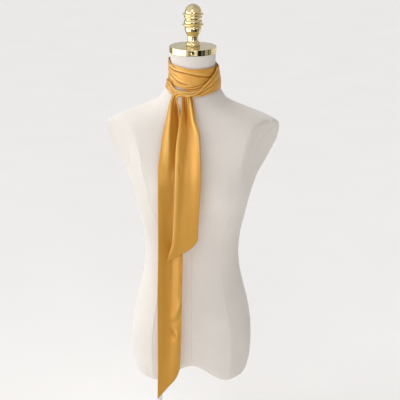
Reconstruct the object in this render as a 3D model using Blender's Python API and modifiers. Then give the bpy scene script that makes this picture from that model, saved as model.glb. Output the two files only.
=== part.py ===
"""A ribbon scarf wound round the neck of a limbless dress form, on a short stand.

Metres, +Z up. The floor is z = 0, the form faces -Y, and +X is at the right of someone
who looks at its front. The origin is on the floor, below the neck.

Heights on the form and the scarf are given as drops: how far a point lies below the top
of the neck cap. A turn is an angle round the neck in degrees, 0 at the front, 90 at +X.
"""

import math

import bmesh
import bpy

OBJECT_NAME = "ribbon_scarf_on_dress_form"

# The whole
CAP_TOP = 1.055  # height of the neck cap above the floor
CLEARANCE = 0.0003  # between pieces that touch

# The cloth
WALL = 0.0012

# The stand
BASE_RADIUS = 0.165
BASE_THICKNESS = 0.006
BASE_EDGE = 0.0015
ROD_RADIUS = 0.006
ROD_X = -0.0825  # in one of the two short lobes below the hips
ROD_SOCKET_DROP = 0.765
SOCKET_OVERCUT = 0.02
ROD_COLLAR_DROP = 0.846
ROD_COLLAR = (0.009, 0.010)  # radius, height
ROD_FOOT = (0.022, 0.008)  # radius, height

# The neck cap and the finial on it
CAP_RADIUS = 0.0535
CAP_HEIGHT = 0.014
CAP_EDGE = 0.0008
SCREW_HOLE = (0.0027, 0.004)  # radius, depth
SCREW_HOLE_DROP = 0.0075

# Half of the finial's outline, from its top: height above the cap, radius
FINIAL_ROWS = (
    # height, radius
    (0.0953, 0.0000),
    (0.0940, 0.0066),
    (0.0900, 0.0126),
    (0.0840, 0.0170),
    (0.0770, 0.0187),
    (0.0735, 0.0184),
    (0.0732, 0.0240),
    (0.0716, 0.0246),
    (0.0700, 0.0240),
    (0.0680, 0.0195),
    (0.0650, 0.0206),
    (0.0600, 0.0180),
    (0.0550, 0.0206),
    (0.0515, 0.0195),
    (0.0500, 0.0240),
    (0.0484, 0.0246),
    (0.0465, 0.0240),
    (0.0445, 0.0175),
    (0.0395, 0.0189),
    (0.0335, 0.0178),
    (0.0265, 0.0135),
    (0.0240, 0.0112),
    (0.0110, 0.0112),
    (0.0080, 0.0150),
    (0.0050, 0.0160),
    (CLEARANCE, 0.0160),
)

# The form's level sections: half its width, its depth in front of and behind the axis,
# and how square its corners are, 2 for an ellipse
FORM_ROWS = (
    # drop, half, front, back, corner
    (0.0143, 0.0515, 0.0515, 0.0515, 2.00),
    (0.0300, 0.0515, 0.0515, 0.0515, 2.00),
    (0.0500, 0.0515, 0.0515, 0.0515, 2.00),
    (0.0700, 0.0522, 0.0517, 0.0528, 2.00),
    (0.0820, 0.0545, 0.0525, 0.0565, 2.00),
    (0.0900, 0.0580, 0.0535, 0.0610, 2.00),
    (0.0970, 0.0635, 0.0550, 0.0665, 2.00),
    (0.1110, 0.0720, 0.0600, 0.0750, 2.00),
    (0.1230, 0.0810, 0.0650, 0.0810, 2.05),
    (0.1320, 0.0965, 0.0690, 0.0850, 2.10),
    (0.1410, 0.1160, 0.0725, 0.0880, 2.15),
    (0.1480, 0.1350, 0.0755, 0.0900, 2.20),
    (0.1610, 0.1690, 0.0800, 0.0935, 2.25),
    (0.1720, 0.1920, 0.0840, 0.0960, 2.30),
    (0.1800, 0.2035, 0.0870, 0.0975, 2.30),
    (0.2000, 0.2098, 0.0930, 0.1005, 2.35),
    (0.2230, 0.2085, 0.0975, 0.1030, 2.35),
    (0.2460, 0.1955, 0.1000, 0.1045, 2.35),
    (0.2740, 0.1780, 0.1015, 0.1050, 2.30),
    (0.3010, 0.1600, 0.1010, 0.1040, 2.30),
    (0.3270, 0.1482, 0.0990, 0.1020, 2.25),
    (0.3540, 0.1385, 0.0965, 0.0990, 2.20),
    (0.4070, 0.1257, 0.0910, 0.0910, 2.20),
    (0.4550, 0.1163, 0.0870, 0.0840, 2.20),
    (0.5000, 0.1132, 0.0860, 0.0805, 2.20),
    (0.5460, 0.1172, 0.0895, 0.0840, 2.20),
    (0.5930, 0.1275, 0.0950, 0.0950, 2.20),
    (0.6310, 0.1370, 0.0990, 0.1080, 2.20),
    (0.6670, 0.1440, 0.1015, 0.1190, 2.20),
    (0.7060, 0.1485, 0.1015, 0.1240, 2.20),
    (0.7490, 0.1497, 0.0990, 0.1200, 2.20),
    (0.7800, 0.1480, 0.0960, 0.1140, 2.20),
    (0.8060, 0.1440, 0.0930, 0.1080, 2.20),
    (0.8230, 0.1400, 0.0880, 0.1000, 2.20),
    (0.8350, 0.1330, 0.0800, 0.0900, 2.20),
    (0.8420, 0.1220, 0.0660, 0.0750, 2.20),
)
FORM_BOTTOM = 0.842
FORM_SIDES = 52
LEVEL_STEP = 0.03  # the most that two sections may differ in drop, or in half width
LEVEL_GROWTH = 0.016
UNDERSIDE_RINGS = (0.75, 0.5, 0.25)
SHARP_ANGLE = 50.0

# The bust, on both sides: how far it stands out, and where and how wide it is
BUST_DEPTH = 0.018
BUST_X = 0.072
BUST_DROP = 0.292
BUST_WIDTH = 0.048
BUST_HEIGHT = 0.070
BUST_EDGE = 0.5  # it fades to nothing at the side

# The flat armholes: a leaning face on each side cuts the shoulder off
ARMHOLE_X = 0.186  # where the face is at ARMHOLE_DROP, beside the neck's axis
ARMHOLE_DROP = 0.200
ARMHOLE_LEAN = 0.30  # inward with each metre down
ARMHOLE_TURN = 0.75  # outward with each metre back
ARMHOLE_UNTURN = 2.0  # how much of that turn is lost with each metre down
ARMHOLE_END = 0.330
ARMHOLE_FADE = 0.060
ARMHOLE_SOFTNESS = 0.014

# The arch between the two lobes
ARCH_START = 0.700
ARCH_TOP = 0.789
ARCH_HALF_WIDTH = 0.095

# The scarf's stretches round the neck. Each row: turn, drop of the upper and the lower
# edge, radius at both edges, how far the middle bulges out, least distance to the form
FRONT_ROWS = (
    # turn, top, low, top_radius, low_radius, bulge, lift
    (-122.0, 0.0300, 0.0770, 0.0555, 0.0575, 0.0000, 0.0020),
    (-100.0, 0.0275, 0.0785, 0.0556, 0.0568, 0.0000, 0.0020),
    (-85.0, 0.0275, 0.0795, 0.0557, 0.0565, 0.0000, 0.0020),
    (-74.0, 0.0300, 0.0810, 0.0556, 0.0565, 0.0000, 0.0020),
    (-64.0, 0.0355, 0.0830, 0.0553, 0.0566, 0.0000, 0.0020),
    (-45.0, 0.0372, 0.0858, 0.0549, 0.0568, 0.0000, 0.0020),
    (-25.0, 0.0392, 0.0887, 0.0547, 0.0570, 0.0000, 0.0020),
    (-6.0, 0.0420, 0.0893, 0.0546, 0.0570, 0.0000, 0.0020),
    (17.0, 0.0425, 0.0905, 0.0546, 0.0570, 0.0000, 0.0020),
    (40.0, 0.0422, 0.0910, 0.0546, 0.0572, 0.0000, 0.0020),
    (63.0, 0.0417, 0.0905, 0.0546, 0.0575, 0.0000, 0.0020),
    (90.0, 0.0405, 0.0890, 0.0546, 0.0575, 0.0000, 0.0020),
    (118.0, 0.0380, 0.0870, 0.0546, 0.0575, 0.0000, 0.0020),
)
RIGHT_ROWS = (
    # turn, top, low, top_radius, low_radius, bulge, lift
    (4.2, 0.0893, 0.1020, 0.0675, 0.0688, 0.0030, 0.0060),
    (15.0, 0.0850, 0.1015, 0.0640, 0.0680, 0.0020, 0.0060),
    (24.0, 0.0770, 0.1000, 0.0625, 0.0670, 0.0015, 0.0060),
    (39.0, 0.0660, 0.0970, 0.0605, 0.0660, 0.0012, 0.0055),
    (59.0, 0.0515, 0.0945, 0.0592, 0.0652, 0.0012, 0.0045),
    (68.0, 0.0430, 0.0935, 0.0588, 0.0648, 0.0014, 0.0045),
    (90.0, 0.0440, 0.0920, 0.0583, 0.0645, 0.0018, 0.0045),
    (120.0, 0.0420, 0.0895, 0.0583, 0.0645, 0.0010, 0.0060),
    (150.0, 0.0370, 0.0850, 0.0588, 0.0650, 0.0000, 0.0065),
    (180.0, 0.0335, 0.0815, 0.0590, 0.0640, 0.0000, 0.0065),
    (205.0, 0.0310, 0.0790, 0.0580, 0.0625, 0.0000, 0.0050),
    (222.0, 0.0300, 0.0775, 0.0566, 0.0595, 0.0000, 0.0030),
    (237.7, 0.0300, 0.0770, 0.0555, 0.0575, 0.0000, 0.0020),
)
LEFT_ROWS = (
    # turn, top, low, top_radius, low_radius, bulge, lift
    (0.0, 0.0900, 0.0984, 0.0625, 0.0630, 0.0000, 0.0020),
    (-20.0, 0.0900, 0.0984, 0.0625, 0.0630, 0.0000, 0.0020),
    (-30.0, 0.0905, 0.0990, 0.0622, 0.0630, 0.0000, 0.0020),
    (-37.0, 0.0905, 0.1025, 0.0615, 0.0640, 0.0000, 0.0025),
    (-48.0, 0.0815, 0.1015, 0.0603, 0.0652, 0.0004, 0.0030),
    (-60.0, 0.0740, 0.0955, 0.0595, 0.0636, 0.0004, 0.0026),
    (-75.0, 0.0735, 0.0930, 0.0592, 0.0622, 0.0004, 0.0024),
    (-90.0, 0.0760, 0.0930, 0.0594, 0.0622, 0.0004, 0.0024),
    (-110.0, 0.0800, 0.0950, 0.0600, 0.0650, 0.0000, 0.0030),
    (-130.0, 0.0825, 0.0975, 0.0600, 0.0685, 0.0000, 0.0030),
    (-150.0, 0.0820, 0.0970, 0.0595, 0.0690, 0.0000, 0.0025),
    (-180.0, 0.0730, 0.0935, 0.0570, 0.0660, 0.0000, 0.0020),
    (-210.0, 0.0530, 0.0900, 0.0548, 0.0620, 0.0000, 0.0020),
    (-241.7, 0.0380, 0.0870, 0.0546, 0.0575, 0.0000, 0.0020),
)

WRAP_SOFTNESS = 0.002

# Creases along the front stretch: turn and drop of each, and how deep it is there
UPPER_CREASE_ROWS = (
    # turn, drop, depth
    (-122.0, 0.0420, 0.0000),
    (-78.0, 0.0442, 0.0012),
    (-46.0, 0.0489, 0.0013),
    (-22.0, 0.0510, 0.0011),
    (-4.0, 0.0543, 0.0011),
    (17.0, 0.0583, 0.0013),
    (46.0, 0.0625, 0.0010),
    (118.0, 0.0600, 0.0000),
)
LOWER_CREASE_ROWS = (
    # turn, drop, depth
    (-122.0, 0.0590, 0.0000),
    (-84.0, 0.0585, 0.0012),
    (-59.0, 0.0617, 0.0014),
    (-44.0, 0.0697, 0.0012),
    (-25.0, 0.0752, 0.0006),
    (0.0, 0.0775, 0.0002),
    (118.0, 0.0740, 0.0000),
)
CREASE_HALF_WIDTH = 0.0020

# The right stretch's rolled upper rim, and the gathers that run into the knot
RIM_HEIGHT = 0.0020
RIM_ACROSS = 0.10  # where the rim's ridge is, as a share of the width
RIM_SPREAD = 0.06
RIM_START = 14.0  # the turns over which it rises from the knot, ends and has faded
RIM_END = 90.0
RIM_FADE = 60.0
GATHER_DEPTH = 0.0007
GATHER_COUNT = 2.5
GATHER_TURN = 55.0  # where the gathers have faded

# The fold along the narrow left stretch
LEFT_FOLD_DEPTH = 0.0012
LEFT_FOLD_ACROSS = 0.45
LEFT_FOLD_SPREAD = 0.14
LEFT_FOLD_END = -110.0  # the turn where it ends, and the turns over which it fades
LEFT_FOLD_FADE = 40.0

# The knot's band, which crosses to -X and turns down: both of its edges, and its depth
KNOT_ROWS = (
    # along, outer_x, outer_drop, inner_x, inner_drop, y
    (0.00, 0.00455, 0.0893, 0.00475, 0.1020, -0.0680),
    (0.14, -0.0060, 0.0888, -0.0040, 0.1018, -0.0705),
    (0.30, -0.0180, 0.0884, -0.0130, 0.1010, -0.0718),
    (0.45, -0.0290, 0.0888, -0.0220, 0.1004, -0.0715),
    (0.60, -0.0365, 0.0908, -0.0280, 0.1006, -0.0705),
    (0.74, -0.0420, 0.0945, -0.0318, 0.1020, -0.0698),
    (0.87, -0.0462, 0.0995, -0.0332, 0.1050, -0.0692),
    (1.00, -0.0495, 0.1055, -0.0335, 0.1085, -0.0690),
)
KNOT_BULGE = 0.0042
KNOT_START = 0.25  # the share of its fullness curve that lies before the band's start

# The hanging tails: drop, both edges, the middle's y, and the depth of the fold
LONG_TAIL_ROWS = (
    # drop, left, right, y, fold
    (0.1060, -0.0497, -0.0335, -0.0690, 0.0030),
    (0.1250, -0.0545, -0.0298, -0.0755, 0.0046),
    (0.1500, -0.0588, -0.0262, -0.0880, 0.0052),
    (0.1750, -0.0652, -0.0238, -0.0980, 0.0048),
    (0.2000, -0.0694, -0.0215, -0.1070, 0.0036),
    (0.2250, -0.0727, -0.0200, -0.1140, 0.0022),
    (0.2520, -0.0759, -0.0192, -0.1205, 0.0012),
    (0.3000, -0.0762, -0.0190, -0.1275, 0.0008),
    (0.3750, -0.0767, -0.0192, -0.1282, 0.0010),
    (0.4600, -0.0775, -0.0200, -0.1280, 0.0008),
    (0.5800, -0.0800, -0.0222, -0.1280, 0.0010),
    (0.7600, -0.0803, -0.0265, -0.1280, 0.0006),
    (0.8500, -0.0822, -0.0290, -0.1280, 0.0003),
)
SHORT_TAIL_ROWS = (
    # drop, left, right, y, fold
    (0.0987, -0.0235, 0.0010, -0.0655, 0.0020),
    (0.1120, -0.0236, 0.0025, -0.0740, 0.0034),
    (0.1330, -0.0252, 0.0062, -0.0880, 0.0044),
    (0.1480, -0.0285, 0.0085, -0.0965, 0.0044),
    (0.1750, -0.0322, 0.0166, -0.1080, 0.0034),
    (0.2100, -0.0363, 0.0193, -0.1205, 0.0020),
    (0.2450, -0.0373, 0.0200, -0.1290, 0.0012),
    (0.2850, -0.0382, 0.0201, -0.1335, 0.0010),
    (0.3600, -0.0402, 0.0167, -0.1340, 0.0010),
    (0.4250, -0.0443, 0.0144, -0.1340, 0.0006),
    (0.4780, -0.0556, 0.0130, -0.1340, 0.0003),
)
# Where the tails start and end, as the drops of their left and right edges. They end in
# a slanting cut, lowest at the left
LONG_TAIL_TOP = (0.1060, 0.1090)
LONG_TAIL_CUT = (0.8500, 0.7620)
SHORT_TAIL_TOP = (0.0989, 0.0989)
SHORT_TAIL_CUT = (0.4775, 0.4200)
CUT_CORNER = 0.22  # how much of the slant is in the rounded corner at the right
CUT_ROUNDNESS = 9
# Where the fold's waves lie across each tail: number of waves and the first one's phase
LONG_TAIL_WAVES = (1.25, 0.30)
SHORT_TAIL_WAVES = (1.35, 0.05)

# Mesh fineness
FRONT_STEPS = 38
RIGHT_STEPS = 36
LEFT_STEPS = 34
LONG_TAIL_STEPS = 40
SHORT_TAIL_STEPS = 26
TAIL_ACROSS = 10
TAIL_GROWTH = 1.25  # over 1: shorter steps near the knot, where the folds are
KNOT_STEPS = 16
KNOT_ACROSS = 10
RIGHT_ACROSS = (0, 0.04, 0.10, 0.16, 0.25, 0.37, 0.5, 0.62, 0.75, 0.88, 1)
LEFT_ACROSS = (0, 0.15, 0.31, 0.45, 0.59, 0.8, 1)

# Colours: red, green, blue, roughness, metallic
CREAM_FABRIC = (0.80, 0.75, 0.68, 0.85, 0.0)
GOLD_METAL = (0.83, 0.62, 0.25, 0.18, 1.0)
MUSTARD_SATIN = (0.72, 0.38, 0.08, 0.42, 0.0)
WHITE_PAINT = (0.85, 0.85, 0.83, 0.40, 0.0)


def height(drop):
    """A drop below the cap's top as a height above the floor."""
    return CAP_TOP - drop


def slope(keys, values, i):
    """The slope at a row that keeps the curve through all rows free of overshoot."""
    if i == 0 or i == len(keys) - 1:
        return 0.0
    before = (values[i] - values[i - 1]) / (keys[i] - keys[i - 1])
    after = (values[i + 1] - values[i]) / (keys[i + 1] - keys[i])
    if before * after <= 0:
        return 0.0
    return 2 * before * after / (before + after)


def read_rows(rows, at):
    """Every column of a table at one value of its first column, on smooth curves."""
    keys = [row[0] for row in rows]
    step = 1 if keys[-1] > keys[0] else -1
    i = 0
    while i < len(keys) - 2 and (at - keys[i + 1]) * step > 0:
        i += 1
    span = keys[i + 1] - keys[i]
    t = min(max((at - keys[i]) / span, 0.0), 1.0)
    found = []
    for column in range(1, len(rows[0])):
        values = [row[column] for row in rows]
        start, end = values[i], values[i + 1]
        start_slope = slope(keys, values, i) * span
        end_slope = slope(keys, values, i + 1) * span
        found.append(
            start * (1 + 2 * t) * (1 - t) ** 2
            + start_slope * t * (1 - t) ** 2
            + end * t * t * (3 - 2 * t)
            - end_slope * t * t * (1 - t)
        )
    return found


def smooth_step(t):
    """0 to 1 with no corner at either end."""
    t = min(max(t, 0.0), 1.0)
    return t * t * (3 - 2 * t)


def soft_min(a, b, softness):
    """The lesser of two lengths, rounded where they are equal."""
    gap = max(softness - abs(a - b), 0.0) / softness
    return min(a, b) - gap * gap * softness / 4


def soft_max(a, b, softness):
    """The greater of two lengths, rounded where they are equal."""
    return -soft_min(-a, -b, softness)


def bump(x, centre, spread):
    """A soft ridge, 1 at its centre."""
    return math.exp(-(((x - centre) / spread) ** 2))


def neck_radius(turn, drop):
    """The form's own radius in one direction from the neck's axis."""
    half, front, back, corner = read_rows(FORM_ROWS, drop)
    side = abs(math.sin(math.radians(turn)))
    ahead = math.cos(math.radians(turn))
    depth = front if ahead > 0 else back
    return ((side / half) ** corner + (abs(ahead) / depth) ** corner) ** (-1 / corner)


def arch_drop(x):
    """The drop of the form's underside: two lobes with an arch between them."""
    return ARCH_TOP + (FORM_BOTTOM - ARCH_TOP) * smooth_step(abs(x) / ARCH_HALF_WIDTH)


def armhole_x(drop, y):
    """How far out the armhole's face lets the shoulder reach."""
    down = drop - ARMHOLE_DROP
    turn = ARMHOLE_TURN - ARMHOLE_UNTURN * down
    past = smooth_step((drop - ARMHOLE_END) / ARMHOLE_FADE)
    return ARMHOLE_X - ARMHOLE_LEAN * down + max(turn, 0.0) * y + past * ARMHOLE_X


def form_point(drop, angle, scale=1.0):
    """A point on one of the form's level sections; scale under 1 is inside it."""
    half, front, back, corner = read_rows(FORM_ROWS, drop)
    side = math.copysign(abs(math.cos(angle)) ** (2 / corner), math.cos(angle))
    ahead = math.copysign(abs(math.sin(angle)) ** (2 / corner), math.sin(angle))
    x = half * side
    y = back * ahead if ahead > 0 else front * ahead
    if ahead < 0:
        swell = bump(abs(x), BUST_X, BUST_WIDTH) * bump(drop, BUST_DROP, BUST_HEIGHT)
        y -= BUST_DEPTH * swell * smooth_step(-ahead / BUST_EDGE)
    x = math.copysign(soft_min(abs(x), armhole_x(drop, y), ARMHOLE_SOFTNESS), x)
    x *= scale
    y *= scale
    if drop > ARCH_START:
        share = (drop - ARCH_START) / (FORM_BOTTOM - ARCH_START)
        drop = ARCH_START + (arch_drop(x) - ARCH_START) * share
    return (x, y, height(drop))


def crease_rows(turn):
    """The drop and depth of both creases of the front stretch."""
    return read_rows(UPPER_CREASE_ROWS, turn), read_rows(LOWER_CREASE_ROWS, turn)


def wrap_radius(row, turn, across, drop):
    """The radius of a stretch round the neck, clear of the form below it."""
    _, _, top_radius, low_radius, bulge, lift = row
    straight = top_radius + (low_radius - top_radius) * across
    straight += bulge * 4 * across * (1 - across)
    return soft_max(straight, neck_radius(turn, drop) + lift, WRAP_SOFTNESS)


def wrap_point(turn, drop, radius):
    """A point round the neck."""
    angle = math.radians(turn)
    return (radius * math.sin(angle), -radius * math.cos(angle), height(drop))


def front_column(turn):
    """The front stretch from its upper to its lower edge, with lines along its creases."""
    row = read_rows(FRONT_ROWS, turn)
    top, low = row[0], row[1]
    (upper, upper_depth), (lower, lower_depth) = crease_rows(turn)
    lip = CREASE_HALF_WIDTH
    lines = [
        (top, 0.0),
        ((top + upper - lip) / 2, 0.0),
        (upper - lip, 0.0),
        (upper, upper_depth),
        (upper + lip, 0.0),
        ((upper + lower) / 2, 0.0),
        (lower - lip, 0.0),
        (lower, lower_depth),
        (lower + lip, 0.0),
        ((lower + lip + low) / 2, 0.0),
        (low, 0.0),
    ]
    points = []
    for drop, depth in lines:
        across = (drop - top) / (low - top)
        points.append(
            wrap_point(turn, drop, wrap_radius(row, turn, across, drop) - depth)
        )
    return points


def right_column(turn):
    """The right stretch, with its rolled rim and the gathers near the knot."""
    row = read_rows(RIGHT_ROWS, turn)
    top, low = row[0], row[1]
    gathered = 1 - smooth_step(turn / GATHER_TURN)
    rolled = smooth_step(turn / RIM_START) - smooth_step((turn - RIM_END) / RIM_FADE)
    points = []
    for across in RIGHT_ACROSS:
        drop = top + (low - top) * across
        radius = wrap_radius(row, turn, across, drop)
        radius += RIM_HEIGHT * rolled * bump(across, RIM_ACROSS, RIM_SPREAD)
        wave = math.cos(2 * math.pi * GATHER_COUNT * across)
        radius += GATHER_DEPTH * gathered * wave
        points.append(wrap_point(turn, drop, radius))
    return points


def left_column(turn):
    """The narrow left stretch, with the fold that runs along it."""
    row = read_rows(LEFT_ROWS, turn)
    top, low = row[0], row[1]
    shown = 1 - smooth_step((LEFT_FOLD_END - turn) / LEFT_FOLD_FADE)
    points = []
    for across in LEFT_ACROSS:
        drop = top + (low - top) * across
        radius = wrap_radius(row, turn, across, drop)
        fold = bump(across, LEFT_FOLD_ACROSS, LEFT_FOLD_SPREAD)
        radius -= LEFT_FOLD_DEPTH * shown * fold
        points.append(wrap_point(turn, drop, radius))
    return points


def knot_column(along):
    """The knot's band across, from its outer to its inner edge."""
    outer_x, outer_drop, inner_x, inner_drop, y = read_rows(KNOT_ROWS, along)
    points = []
    for i in range(KNOT_ACROSS + 1):
        across = i / KNOT_ACROSS
        x = outer_x + (inner_x - outer_x) * across
        drop = outer_drop + (inner_drop - outer_drop) * across
        hanging = smooth_step(2 * along - 1)
        gather = GATHER_DEPTH * math.cos(2 * math.pi * GATHER_COUNT * across)
        fold = LONG_TAIL_ROWS[0][4] * tail_wave(LONG_TAIL_WAVES, across)
        fullness = math.sin(math.pi * (KNOT_START + (1 - KNOT_START) * along))
        out = KNOT_BULGE * fullness * 4 * across * (1 - across)
        out += gather + (fold - gather) * hanging
        points.append((x, y - out, height(drop)))
    return points


def cut_drop(cut, across):
    """The drop of a tail's slanting end at one place across it, round at the right."""
    left, right = cut
    slant = (1 - CUT_CORNER) * across + CUT_CORNER * across**CUT_ROUNDNESS
    return left + (right - left) * slant


def tail_wave(waves, across):
    """The waves across a tail, 1 on their crests."""
    count, phase = waves
    return math.cos(2 * math.pi * (count * across + phase))


def tail_column(rows, top, cut, waves, along):
    """A tail across, at a share of its length: nearly level at first, then slanting."""
    points = []
    for i in range(TAIL_ACROSS + 1):
        across = i / TAIL_ACROSS
        start = top[0] + (top[1] - top[0]) * across
        drop = start + (cut_drop(cut, across) - start) * along
        left, right, y, fold = read_rows(rows, drop)
        x = left + (right - left) * across
        points.append((x, y - fold * tail_wave(waves, across), height(drop)))
    return points


def colour(name, values):
    """A plain surface finish."""
    red, green, blue, roughness, metallic = values
    material = bpy.data.materials.new(name)
    material.use_nodes = True
    shader = material.node_tree.nodes["Principled BSDF"]
    shader.inputs["Base Color"].default_value = (red, green, blue, 1.0)
    shader.inputs["Roughness"].default_value = roughness
    shader.inputs["Metallic"].default_value = metallic
    material.diffuse_color = (red, green, blue, 1.0)
    return material


def add_object(name, mesh, collection, values=None):
    """An object of this mesh, in its collection, with its own material."""
    thing = bpy.data.objects.new(name, mesh)
    collection.objects.link(thing)
    if values:
        mesh.materials.append(colour(name, values))
    return thing


def add_strip(name, columns, collection):
    """A ribbon: an open grid through columns of points, given its wall by Solidify."""
    across = len(columns[0])
    points = [point for column in columns for point in column]
    faces = []
    for i in range(len(columns) - 1):
        for j in range(across - 1):
            first = i * across + j
            faces.append((first, first + 1, first + across + 1, first + across))
    mesh = bpy.data.meshes.new(name)
    mesh.from_pydata(points, [], faces)
    mesh.shade_smooth()
    thing = add_object(name, mesh, collection, MUSTARD_SATIN)
    wall = thing.modifiers.new("wall", "SOLIDIFY")
    wall.thickness = WALL
    wall.offset = 0.0
    return thing


def add_turned(name, outline, sides, collection, values, x=0.0):
    """A turned piece: radius and height pairs, from the top down its outer side."""
    mesh = bpy.data.meshes.new(name)
    points = [(radius, 0.0, z) for radius, z in outline]
    mesh.from_pydata(points, [(i, i + 1) for i in range(len(points) - 1)], [])
    thing = add_object(name, mesh, collection, values)
    thing.location.x = x
    turn = thing.modifiers.new("turn", "SCREW")
    turn.steps = sides
    turn.render_steps = sides
    turn.use_merge_vertices = True
    turn.merge_threshold = 0.00001
    turn.use_smooth_shade = True
    return thing


def add_cutter(name, radius, depth, collection):
    """A round cutter along its own Z."""
    shape = bmesh.new()
    bmesh.ops.create_cone(
        shape, cap_ends=True, segments=16, radius1=radius, radius2=radius, depth=depth
    )
    mesh = bpy.data.meshes.new(name)
    shape.to_mesh(mesh)
    shape.free()
    cutter = add_object(name, mesh, collection)
    cutter.hide_render = True
    cutter.display_type = "WIRE"
    return cutter


def cut(thing, cutter):
    """Takes the cutter's shape out of a piece."""
    hole = thing.modifiers.new(cutter.name, "BOOLEAN")
    hole.operation = "DIFFERENCE"
    hole.solver = "EXACT"
    hole.object = cutter


def form_levels():
    """The drops of the form's sections: each row, and one between where they differ."""
    levels = [FORM_ROWS[0][0]]
    for before, after in zip(FORM_ROWS, FORM_ROWS[1:]):
        if after[0] - before[0] > LEVEL_STEP or after[1] - before[1] > LEVEL_GROWTH:
            levels.append((before[0] + after[0]) / 2)
        levels.append(after[0])
    return levels


def add_form(collection, cutters):
    """The limbless torso: a loft through its level sections, with a socket for the rod."""
    turns = [2 * math.pi * i / FORM_SIDES for i in range(FORM_SIDES)]
    rings = [(drop, 1.0) for drop in form_levels()]
    rings += [(FORM_BOTTOM, scale) for scale in UNDERSIDE_RINGS]
    points = [form_point(drop, turn, scale) for drop, scale in rings for turn in turns]
    faces = []
    for i in range(len(rings) - 1):
        for j in range(FORM_SIDES):
            k = (j + 1) % FORM_SIDES
            first, lower = i * FORM_SIDES, (i + 1) * FORM_SIDES
            faces.append((first + j, lower + j, lower + k, first + k))
    faces.append(tuple(range(FORM_SIDES)))
    last = (len(rings) - 1) * FORM_SIDES
    points.append((0.0, 0.0, height(arch_drop(0.0))))
    middle = len(points) - 1
    for j in range(FORM_SIDES):
        faces.append((last + j, middle, last + (j + 1) % FORM_SIDES))
    mesh = bpy.data.meshes.new("form_torso")
    mesh.from_pydata(points, [], faces)
    mesh.shade_smooth()
    mesh.set_sharp_from_angle(angle=math.radians(SHARP_ANGLE))
    torso = add_object("form_torso", mesh, collection, CREAM_FABRIC)
    bottom = height(FORM_BOTTOM + SOCKET_OVERCUT)
    top = height(ROD_SOCKET_DROP)
    socket = add_cutter("rod_socket", ROD_RADIUS + CLEARANCE, top - bottom, cutters)
    socket.location = (ROD_X, 0.0, (top + bottom) / 2)
    cut(torso, socket)


def add_cap(collection, cutters):
    """The round metal cap on the neck, with the hole of its set screw in front."""
    low = CAP_TOP - CAP_HEIGHT
    outline = [
        (0.0, CAP_TOP),
        (CAP_RADIUS - CAP_EDGE, CAP_TOP),
        (CAP_RADIUS, CAP_TOP - CAP_EDGE),
        (CAP_RADIUS, low + CAP_EDGE),
        (CAP_RADIUS - CAP_EDGE, low),
        (0.0, low),
    ]
    cap = add_turned("neck_cap", outline, 48, collection, GOLD_METAL)
    radius, depth = SCREW_HOLE
    hole = add_cutter("screw_hole", radius, 2 * depth, cutters)
    hole.location = (0.0, -CAP_RADIUS, height(SCREW_HOLE_DROP))
    hole.rotation_euler.x = math.pi / 2
    cut(cap, hole)


def add_finial(collection):
    """The turned finial on the cap: a ball between two flanges, a bulb, a stem, a foot."""
    outline = [(radius, CAP_TOP + rise) for rise, radius in FINIAL_ROWS]
    outline.append((0.0, CAP_TOP + CLEARANCE))
    add_turned("finial", outline, 28, collection, GOLD_METAL)


def add_stand(collection):
    """A round base on the floor and the rod that carries the form in its socket."""
    base = [
        (0.0, BASE_THICKNESS),
        (BASE_RADIUS - BASE_EDGE, BASE_THICKNESS),
        (BASE_RADIUS, BASE_THICKNESS - BASE_EDGE),
        (BASE_RADIUS, 0.0),
        (0.0, 0.0),
    ]
    add_turned("stand_base", base, 56, collection, WHITE_PAINT)
    top = height(ROD_SOCKET_DROP) - CLEARANCE
    collar_radius, collar_height = ROD_COLLAR
    collar = height(ROD_COLLAR_DROP)
    foot_radius, foot_height = ROD_FOOT
    floor = BASE_THICKNESS + CLEARANCE
    rod = [
        (0.0, top),
        (ROD_RADIUS, top),
        (ROD_RADIUS, collar),
        (collar_radius, collar),
        (collar_radius, collar - collar_height),
        (ROD_RADIUS, collar - collar_height),
        (ROD_RADIUS, floor + foot_height),
        (foot_radius, floor + foot_height),
        (foot_radius, floor),
        (0.0, floor),
    ]
    add_turned("stand_rod", rod, 20, collection, WHITE_PAINT, x=ROD_X)


def steps(start, end, count):
    """Evenly spaced values from start to end."""
    return [start + (end - start) * i / count for i in range(count + 1)]


def add_scarf(collection):
    """The ribbon, in the stretches that show: three round the neck, the knot, two tails."""
    wraps = (
        ("wrap_front", FRONT_ROWS, FRONT_STEPS, front_column),
        ("wrap_right", RIGHT_ROWS, RIGHT_STEPS, right_column),
        ("wrap_left", LEFT_ROWS, LEFT_STEPS, left_column),
    )
    for name, rows, count, column in wraps:
        turns = steps(rows[0][0], rows[-1][0], count)
        add_strip(name, [column(turn) for turn in turns], collection)
    knot = [knot_column(along) for along in steps(0.0, 1.0, KNOT_STEPS)]
    add_strip("knot_band", knot, collection)
    long_tail = (LONG_TAIL_ROWS, LONG_TAIL_TOP, LONG_TAIL_CUT, LONG_TAIL_WAVES)
    short_tail = (SHORT_TAIL_ROWS, SHORT_TAIL_TOP, SHORT_TAIL_CUT, SHORT_TAIL_WAVES)
    tails = (
        ("tail_long", long_tail, LONG_TAIL_STEPS),
        ("tail_short", short_tail, SHORT_TAIL_STEPS),
    )
    for name, tail, count in tails:
        shares = [share**TAIL_GROWTH for share in steps(0.0, 1.0, count)]
        add_strip(name, [tail_column(*tail, share) for share in shares], collection)


def main():
    for thing in list(bpy.data.objects):
        bpy.data.objects.remove(thing, do_unlink=True)
    parts = bpy.data.collections.new(OBJECT_NAME)
    cutters = bpy.data.collections.new("cutters")
    bpy.context.scene.collection.children.link(parts)
    bpy.context.scene.collection.children.link(cutters)
    add_form(parts, cutters)
    add_cap(parts, cutters)
    add_finial(parts)
    add_stand(parts)
    add_scarf(parts)


main()
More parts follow.
